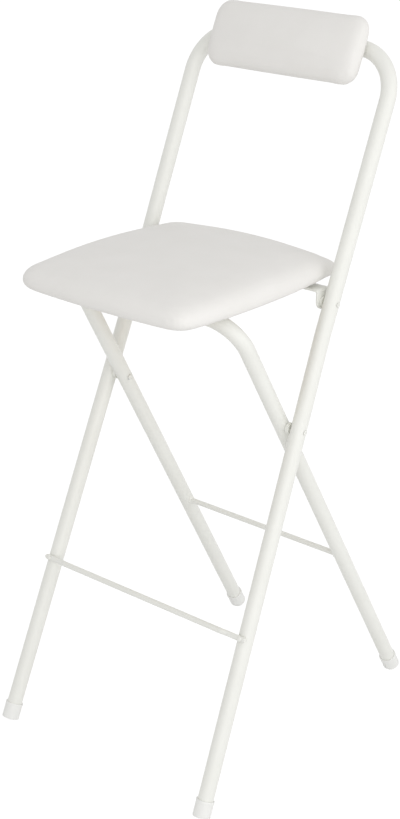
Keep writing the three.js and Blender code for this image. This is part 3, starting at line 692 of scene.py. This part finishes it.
def softened_copy(name, node, width, material, body):
    """The CAD piece again with its sharp edges eased, so that they catch the light."""
    piece = cad_copy(name, node)
    edit_all(piece)
    bpy.ops.mesh.dissolve_limited(angle_limit=FLAT_ANGLE)
    round_edges(piece, width, CUT_EDGE_ANGLE)
    apply_modifiers(piece)
    bpy.ops.object.shade_smooth_by_angle(angle=CUT_EDGE_ANGLE)
    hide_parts(node)
    finished(piece, material, body)


def pressed_and_cut_pieces(paint, nylon, plywood, vinyl):
    for side, _ in SIDES:
        softened_copy(f"bracket_{side}", f"seat_bracket_{side}", BRACKET_EDGE, paint, "seat")
        softened_copy(f"saddle_{side}", f"crossbar_saddle_{side}", SADDLE_EDGE, nylon, "seat")
    softened_copy("seat_plywood", "seat_board", BOARD_EDGE, plywood, "seat")
    # The backrest's board is wrapped in the cover's vinyl
    softened_copy("backrest_back", "backrest_board", WRAPPED_EDGE, vinyl, "main_frame")


# Rivets

def rivet_pin(name, node, side, paint):
    """A pin with the small hollow head of a tubular rivet."""
    low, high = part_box(node)
    axis = (low + high) / 2
    face = max(side * low.x, side * high.x) - RIVET_HEAD

    def off_axis(place):
        return math.hypot(place.y - axis.y, place.z - axis.z)

    def in_head(place):
        above = side * place.x - face
        return above > NEAR or (above > -NEAR and off_axis(place) > PIN_RADIUS)

    pin = cad_copy(name, node)
    edit_all(pin)
    select_points(pin, in_head)
    height, width = HEAD_SHARES
    bpy.ops.transform.resize(value=(height, width, width), center_override=(side * face, axis.y, axis.z))
    make_active(pin)
    on_axis = [vertex for vertex in pin.data.vertices if off_axis(vertex.co) < NEAR]
    head_middle = max(on_axis, key=lambda vertex: side * vertex.co.x)
    head_middle.co.x -= side * HEAD_HOLLOW
    bpy.ops.object.shade_smooth_by_angle(angle=SMOOTH_ANGLE)
    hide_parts(node)
    finished(pin, paint, "main_frame")


def rivet_pins(paint):
    for kind in ("pivot_rivet", "hinge_rivet"):
        for side_name, side in SIDES:
            rivet_pin(f"{kind}_pin_{side_name}", f"{kind}_{side_name}", side, paint)


# The seat cover's hem, drawn round the board and stapled under it

def seat_hem(vinyl):
    low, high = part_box("seat_board")
    middle_y = (low.y + high.y) / 2
    hem = cad_copy("seat_hem", "seat_board")
    edit_all(hem)
    bpy.ops.mesh.bisect(plane_co=(0, 0, low.z + HEM_RISE), plane_no=(0, 0, 1), clear_outer=True)

    def unwanted(centre, normal):
        inner = abs(centre.x) < INNER_WALLS[0] and abs(centre.y - middle_y) < INNER_WALLS[1]
        return inner or abs(normal.z) > FACING

    select_faces(hem, unwanted)
    bpy.ops.mesh.delete(type="FACE")
    select_points(hem, lambda place: place.z < low.z + NEAR)
    inward = (1 - HEM_WIDTH / high.x, 1 - 2 * HEM_WIDTH / (high.y - low.y), 1)
    extrude_scaled((0, 0, 0), inward, (0, middle_y, low.z))
    bpy.ops.mesh.select_all(action="SELECT")
    bpy.ops.mesh.normals_make_consistent(inside=False)
    bpy.ops.object.mode_set(mode="OBJECT")
    under = next(face for face in hem.data.polygons if abs(face.normal.z) > SQUARE_ON)
    if under.normal.z > 0:
        edit_all(hem)
        bpy.ops.mesh.flip_normals()
    round_edges(hem, HEM_FOLD, HEM_FOLD_ANGLE)
    cloth = hem.modifiers.new("leathercloth", "SOLIDIFY")
    cloth.thickness = HEM_THICKNESS
    cloth.offset = 1
    apply_modifiers(hem)
    bpy.ops.object.shade_smooth_by_angle(angle=SMOOTH_ANGLE)
    finished(hem, vinyl, "seat")


def staple_places(low, high):
    """Where the staples lie under the board, and how far each is turned."""
    middle_y = (low.y + high.y) / 2
    half_depth = (high.y - low.y) / 2
    places = []
    for i in range(-STAPLES_EACH_WAY, STAPLES_EACH_WAY + 1):
        along = i * STAPLE_SPACING
        fall = (along / half_depth) ** 2
        x = CORNER_HALF_WIDTH + SIDE_BULGE * (1 - fall) - STAPLE_INSET
        y = middle_y + along
        if abs(y - SEAT_HINGE.y) > BRACKET_CLEAR:
            places += [(x, y, QUARTER_TURN), (-x, y, QUARTER_TURN)]
        across = along * CORNER_HALF_WIDTH / half_depth
        places.append((across, low.y + STAPLE_INSET + FRONT_BULGE * fall, 0))
        places.append((across, high.y - STAPLE_INSET - SIDE_BULGE * fall, 0))
    return places


def hem_staples(zinc):
    """Flat wire staples, one made and the others copied, joined as one piece."""
    low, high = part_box("seat_board")
    deselect_all()
    bpy.ops.mesh.primitive_cube_add(size=1, scale=STAPLE)
    first = just_added("staple")
    edit_all(first)
    bpy.ops.mesh.bevel(offset=STAPLE_EDGE, segments=EDGE_STEPS, affect="EDGES")
    make_active(first)
    bpy.ops.object.shade_smooth_by_angle(angle=SMOOTH_ANGLE)
    z = low.z - HEM_THICKNESS - STAPLE_STANDS + STAPLE[2] / 2
    staples = []
    for x, y, turn in staple_places(low, high):
        staple = new_object("hem_staples", first.data.copy())
        staple.data.transform(Matrix.Translation((x, y, z)) @ Matrix.Rotation(turn, 4, "Z"))
        staples.append(staple)
    bpy.data.objects.remove(first)
    make_active(staples[0])
    for staple in staples:
        staple.select_set(True)
    bpy.ops.object.join()
    finished(staples[0], zinc, "seat")


# Pads. The shape of each is given by
# out, along: directions out of its face and along its length
# dome, droop: rise of the face's middle over its corners, and how far the whole face is lowered
# stretch: how much longer the cover gets at each end, the front or lower end first
# corner_from: where a corner starts, as shares of half the width and half the length
# corner_push: how strongly the corners of each end are pushed out, both across and along
# shrink, limit: how far inside the cover starts, and how far the cloth may move it
# kept: the axes along which the pad has the CAD cushion's size

def cloth_pad(name, node, shape, held):
    """The CAD cushion as a cover over foam: remeshed, crowned, swollen as cloth and drawn smooth.

    held says which points are stapled to the board and keep still."""
    pad = cad_copy(name, node)
    remesh = pad.modifiers.new("cells", "REMESH")
    remesh.mode = "VOXEL"
    remesh.voxel_size = CLOTH_CELL
    remesh.use_smooth_shade = True
    smooth_out(pad, *CELLS_SOFTENED)
    apply_modifiers(pad)
    crown(pad, shape)
    swell(pad, shape, held)
    fit_between(pad, node, shape["kept"])
    finer = pad.modifiers.new("finer", "SUBSURF")
    finer.levels = 1
    finer.render_levels = 1
    apply_modifiers(pad)
    bpy.ops.object.shade_smooth()
    return pad


def crown(pad, shape):
    """Raises the cover into a dome that falls away to its corners, as foam under a taut cover does."""
    out, along = shape["out"], shape["along"]
    half_width = max(vertex.co.x for vertex in pad.data.vertices)
    reach = [vertex.co.dot(along) for vertex in pad.data.vertices]
    height = [vertex.co.dot(out) for vertex in pad.data.vertices]
    middle, half_length = (max(reach) + min(reach)) / 2, (max(reach) - min(reach)) / 2
    low, thickness = min(height), max(height) - min(height)
    for i, vertex in enumerate(pad.data.vertices):
        u = vertex.co.x / half_width
        v = (reach[i] - middle) / half_length
        share = (height[i] - low) / thickness
        weight = share * share * (3 - 2 * share)  # from 0 at the board to 1 at the face, without a kink
        rise = shape["dome"] * (1 - (u * u + v * v) / 2) - shape["droop"]
        corner = max(0, abs(u) - shape["corner_from"][0]) * max(0, abs(v) - shape["corner_from"][1])
        push = shape["corner_push"][v > 0] * corner
        stretch = shape["stretch"][v > 0] * v
        sideways = Vector((math.copysign(push, u), 0, 0))
        endways = along * (math.copysign(push, v) + stretch)
        vertex.co += out * weight * rise + sideways + endways


def swell(pad, shape, held):
    """Lets the cover swell under a little pressure as cloth, and smooths what that moved, so that no
    pucker is left where the real cover is drawn tight."""
    vertices = pad.data.vertices
    start = [vertex.co.copy() for vertex in vertices]
    inside = [vertex.co - vertex.normal * shape["shrink"] for vertex in vertices]
    stapled = pad.vertex_groups.new(name="stapled")
    free = []
    for vertex in vertices:
        if held(vertex.co, vertex.normal):
            stapled.add([vertex.index], 1, "REPLACE")
        else:
            free.append(vertex.index)
    for i in free:
        vertices[i].co = inside[i]
    cloth = pad.modifiers.new("cover", "CLOTH")
    for setting, value in CLOTH.items():
        setattr(cloth.settings, setting, value)
    cloth.settings.vertex_group_mass = stapled.name
    cloth.settings.effector_weights.gravity = 0
    cloth.point_cache.frame_start = 1
    cloth.point_cache.frame_end = CLOTH_FRAMES
    scene = bpy.context.scene
    for step in range(1, CLOTH_FRAMES + 1):
        scene.frame_set(step)
    shown = pad.evaluated_get(bpy.context.evaluated_depsgraph_get()).data
    swollen = [vertex.co.copy() for vertex in shown.vertices]
    pad.modifiers.remove(cloth)
    scene.frame_set(1)
    pad.vertex_groups.clear()
    moves = [Vector() for _ in start]
    for i in free:
        move = swollen[i] - inside[i]
        if move.length > shape["limit"]:
            move = move.normalized() * shape["limit"]
        moves[i] = inside[i] + move - start[i]
    for vertex, place, move in zip(vertices, start, evened(pad, moves)):
        vertex.co = place + move


def evened(pad, moves):
    """The moves evened out between neighbours, worked out on a copy of the mesh that holds them."""
    field = new_object("moves", pad.data.copy())
    for vertex, move in zip(field.data.vertices, moves):
        vertex.co = move
    smooth_out(field, *MOVES_EVENED)
    apply_modifiers(field)
    result = [vertex.co.copy() for vertex in field.data.vertices]
    bpy.data.objects.remove(field)
    return result


def fit_between(pad, node, axes):
    """Brings the pad's sides back to the CAD cushion's own, clear of its neighbours."""
    low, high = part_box(node)
    for axis in axes:
        places = [vertex.co[axis] for vertex in pad.data.vertices]
        least, most = min(places), max(places)
        scale = (high[axis] - low[axis]) / (most - least)
        for vertex, place in zip(pad.data.vertices, places):
            vertex.co[axis] = low[axis] + (place - least) * scale


def seat_pad(vinyl):
    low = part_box("seat_cushion")[0]
    board_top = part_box("seat_board")[1].z
    shape = {
        "out": Vector((0, 0, 1)), "along": Vector((0, 1, 0)),
        "dome": 6.4 * MM, "droop": 1 * MM, "stretch": (0, 0),
        "corner_from": (0.8, 0.8), "corner_push": (100 * MM, 1000 * MM),
        "shrink": 0.8 * MM, "limit": 1.5 * MM, "kept": (0, 1),
    }

    def stapled(place, normal):
        inside = place.z < board_top + ABOVE_BOARD and normal.z < -FACING
        return inside or place.z < low.z + STAPLED_EDGE

    pad = cloth_pad("seat_pad", "seat_cushion", shape, stapled)
    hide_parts("seat_cushion")
    finished(pad, vinyl, "seat")


def backrest_pad(vinyl):
    back = Vector((0, math.cos(MAIN_LEAN), -math.sin(MAIN_LEAN)))
    depth = max(vertex.co.dot(back) for vertex in frame["nodes"]["backrest_cushion"].data.vertices)
    shape = {
        "out": -back, "along": Vector((0, math.sin(MAIN_LEAN), math.cos(MAIN_LEAN))),
        "dome": 5.5 * MM, "droop": 0.3 * MM, "stretch": (1.8 * MM, 1 * MM),
        "corner_from": (0.7, 0.4), "corner_push": (14 * MM, 14 * MM),
        "shrink": 0.6 * MM, "limit": 1.1 * MM, "kept": (0,),
    }

    def stapled(place, normal):
        inside = place.dot(back) > depth - BACK_RECESS and normal.dot(back) > FACING
        return inside or place.dot(back) > depth - STAPLED_EDGE

    pad = cloth_pad("backrest_pad", "backrest_cushion", shape, stapled)
    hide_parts("backrest_cushion")
    finished(pad, vinyl, "main_frame")


# Camera, floor and light

def place_camera():
    data = bpy.data.cameras.new("camera")
    data.sensor_width = SENSOR
    data.lens = LENS
    data.shift_x = -CENTRE_SHIFT
    data.shift_y = CENTRE_SHIFT
    camera = new_object("camera", data)
    camera.location = CAMERA_PLACE
    camera.rotation_euler = (CAMERA_TILT, 0, CAMERA_TURN)
    bpy.context.scene.camera = camera


def looked_at(owner):
    """1 where a surface is seen directly, in a reflection or through something, and 0 where it lights."""
    path = add_node(owner, "ShaderNodeLightPath")
    direct = path.outputs["Is Camera Ray"]
    glossy = path.outputs["Is Glossy Ray"]
    through = path.outputs["Is Transmission Ray"]
    either = add_node(owner, "ShaderNodeMath", {0: direct, 1: glossy}, operation="MAXIMUM")
    any_way = add_node(owner, "ShaderNodeMath", {0: either.outputs[0], 1: through}, operation="MAXIMUM")
    return any_way.outputs[0]


def add_floor():
    deselect_all()
    bpy.ops.mesh.primitive_plane_add(size=FLOOR_SIZE)
    floor = just_added("floor")
    material = new_material("pale_floor")
    lit = add_node(material, "ShaderNodeBsdfDiffuse", {"Color": to_linear(FLOOR_COLOUR)})
    faint = add_node(material, "ShaderNodeBsdfDiffuse", {"Color": FLOOR_SHADED})
    glow = add_node(material, "ShaderNodeEmission", {"Strength": FLOOR_GLOW})
    seen = add_node(material, "ShaderNodeAddShader", {0: faint.outputs[0], 1: glow.outputs[0]})
    mixed = add_node(material, "ShaderNodeMixShader", {
        0: looked_at(material), 1: lit.outputs[0], 2: seen.outputs[0],
    })
    add_node(material, "ShaderNodeOutputMaterial", {"Surface": mixed.outputs[0]})
    floor.data.materials.append(material)


def light_world():
    world = bpy.data.worlds.new("studio")
    world.use_nodes = True
    world.node_tree.nodes.clear()
    lit = add_node(world, "ShaderNodeBackground", {"Color": WHITE, "Strength": SKY_LIGHT})
    seen = add_node(world, "ShaderNodeBackground", {"Color": WHITE, "Strength": SKY_SEEN})
    mixed = add_node(world, "ShaderNodeMixShader", {
        0: looked_at(world), 1: lit.outputs[0], 2: seen.outputs[0],
    })
    add_node(world, "ShaderNodeOutputWorld", {"Surface": mixed.outputs[0]})
    bpy.context.scene.world = world


def add_lamps():
    for name, (round_degrees, up_degrees, power) in LAMPS.items():
        data = bpy.data.lights.new(name, "AREA")
        data.shape = "DISK"
        data.size = LAMP_SIZE
        data.energy = power
        lamp = new_object(name, data)
        sideways, up = math.radians(round_degrees), math.radians(up_degrees)
        level = math.cos(up)
        towards = Vector((math.sin(sideways) * level, -math.cos(sideways) * level, math.sin(up)))
        lamp.location = LIT_POINT + towards * LAMP_DISTANCE
        lamp.rotation_euler = (-towards).to_track_quat("-Z", "Y").to_euler()


def make_scene():
    bpy.context.scene.view_settings.view_transform = "Standard"
    place_camera()
    add_floor()
    light_world()
    add_lamps()
    paint = powder_coated_steel()
    polythene = moulded_polythene()
    nylon = moulded_nylon()
    vinyl = pvc_leathercloth()
    plywood = birch_plywood()
    zinc = zinc_plated_steel()
    dress_nodes([
        ("foot_", polythene), ("spacer", nylon), ("washer", nylon), ("crossbar_saddle", nylon),
        ("board", plywood), ("cushion", vinyl), ("screw", zinc), ("", paint),
    ])
    frame_tubes(paint)
    welded_brace(paint)
    footrest(paint)
    moulded_caps(polythene)
    pressed_and_cut_pieces(paint, nylon, plywood, vinyl)
    rivet_pins(paint)
    seat_hem(vinyl)
    hem_staples(zinc)
    seat_pad(vinyl)
    backrest_pad(vinyl)


make_scene()
